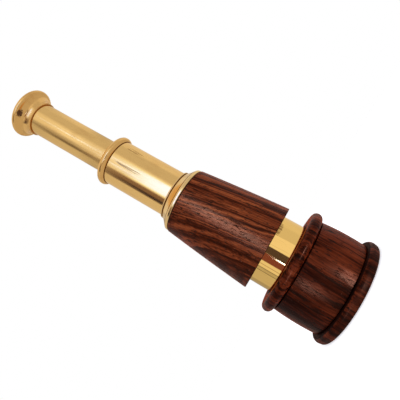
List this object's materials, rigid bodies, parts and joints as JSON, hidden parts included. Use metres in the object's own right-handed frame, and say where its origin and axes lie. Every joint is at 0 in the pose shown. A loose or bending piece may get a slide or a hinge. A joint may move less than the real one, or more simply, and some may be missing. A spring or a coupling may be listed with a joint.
{
  "type": "spyglass",
  "caption": "Hand-held pocket spyglass with sliding brass draw tubes, a tapered rosewood barrel, a flared brass eyecup and a pull-off rosewood lens cap.",
  "frame": {"origin": "on the axis, at the front face of the lens cap, which the object stands on", "axes": "+Z along the optical axis, from the lens cap up to the eyecup; the object is round about Z, and X and Y are square to it"},
  "size_m": [0.0452, 0.0452, 0.1658],
  "materials": {
    "polished_brass": "polished, lacquered, with fine lengthwise scratches",
    "blackened_brass": "chemically blackened, matte",
    "rosewood_barrel": "turned, oiled, satin",
    "rosewood_cap": "turned, oiled, satin",
    "felt": "matte felt",
    "lens_glass": "polished optical glass"
  },
  "bodies": {
    "barrel": {"wood_barrel": "rosewood_barrel", "barrel_ferrule": "polished_brass", "ferrule_lining": "felt", "objective_tube": "polished_brass", "objective_seat": "blackened_brass", "objective_lens": "lens_glass", "objective_ring": "blackened_brass"},
    "second_draw": {"second_draw_tube": "polished_brass", "draw_collar": "polished_brass", "collar_lining": "felt", "second_draw_stop": "blackened_brass"},
    "first_draw": {"first_draw_tube": "polished_brass", "first_draw_stop": "blackened_brass", "eyecup": "polished_brass", "eye_lens": "lens_glass", "eye_lens_ring": "blackened_brass", "field_stop": "blackened_brass", "erector_cell": "blackened_brass", "erector_lens": "lens_glass", "erector_ring": "blackened_brass"},
    "lens_cap": {"lens_cap": "rosewood_cap", "cap_lining": "felt"}
  },
  "joints": [
    {"name": "second_draw_slide", "type": "slide", "parent": "barrel", "child": "second_draw", "axis": [0, 0, -1], "range_m": [0, 0.03]},
    {"name": "first_draw_slide", "type": "slide", "parent": "second_draw", "child": "first_draw", "axis": [0, 0, -1], "range_m": [0, 0.0405]},
    {"name": "lens_cap_slide", "type": "slide", "parent": "barrel", "child": "lens_cap", "axis": [0, 0, -1], "range_m": [-0.0088, 0.022]}
  ]
}
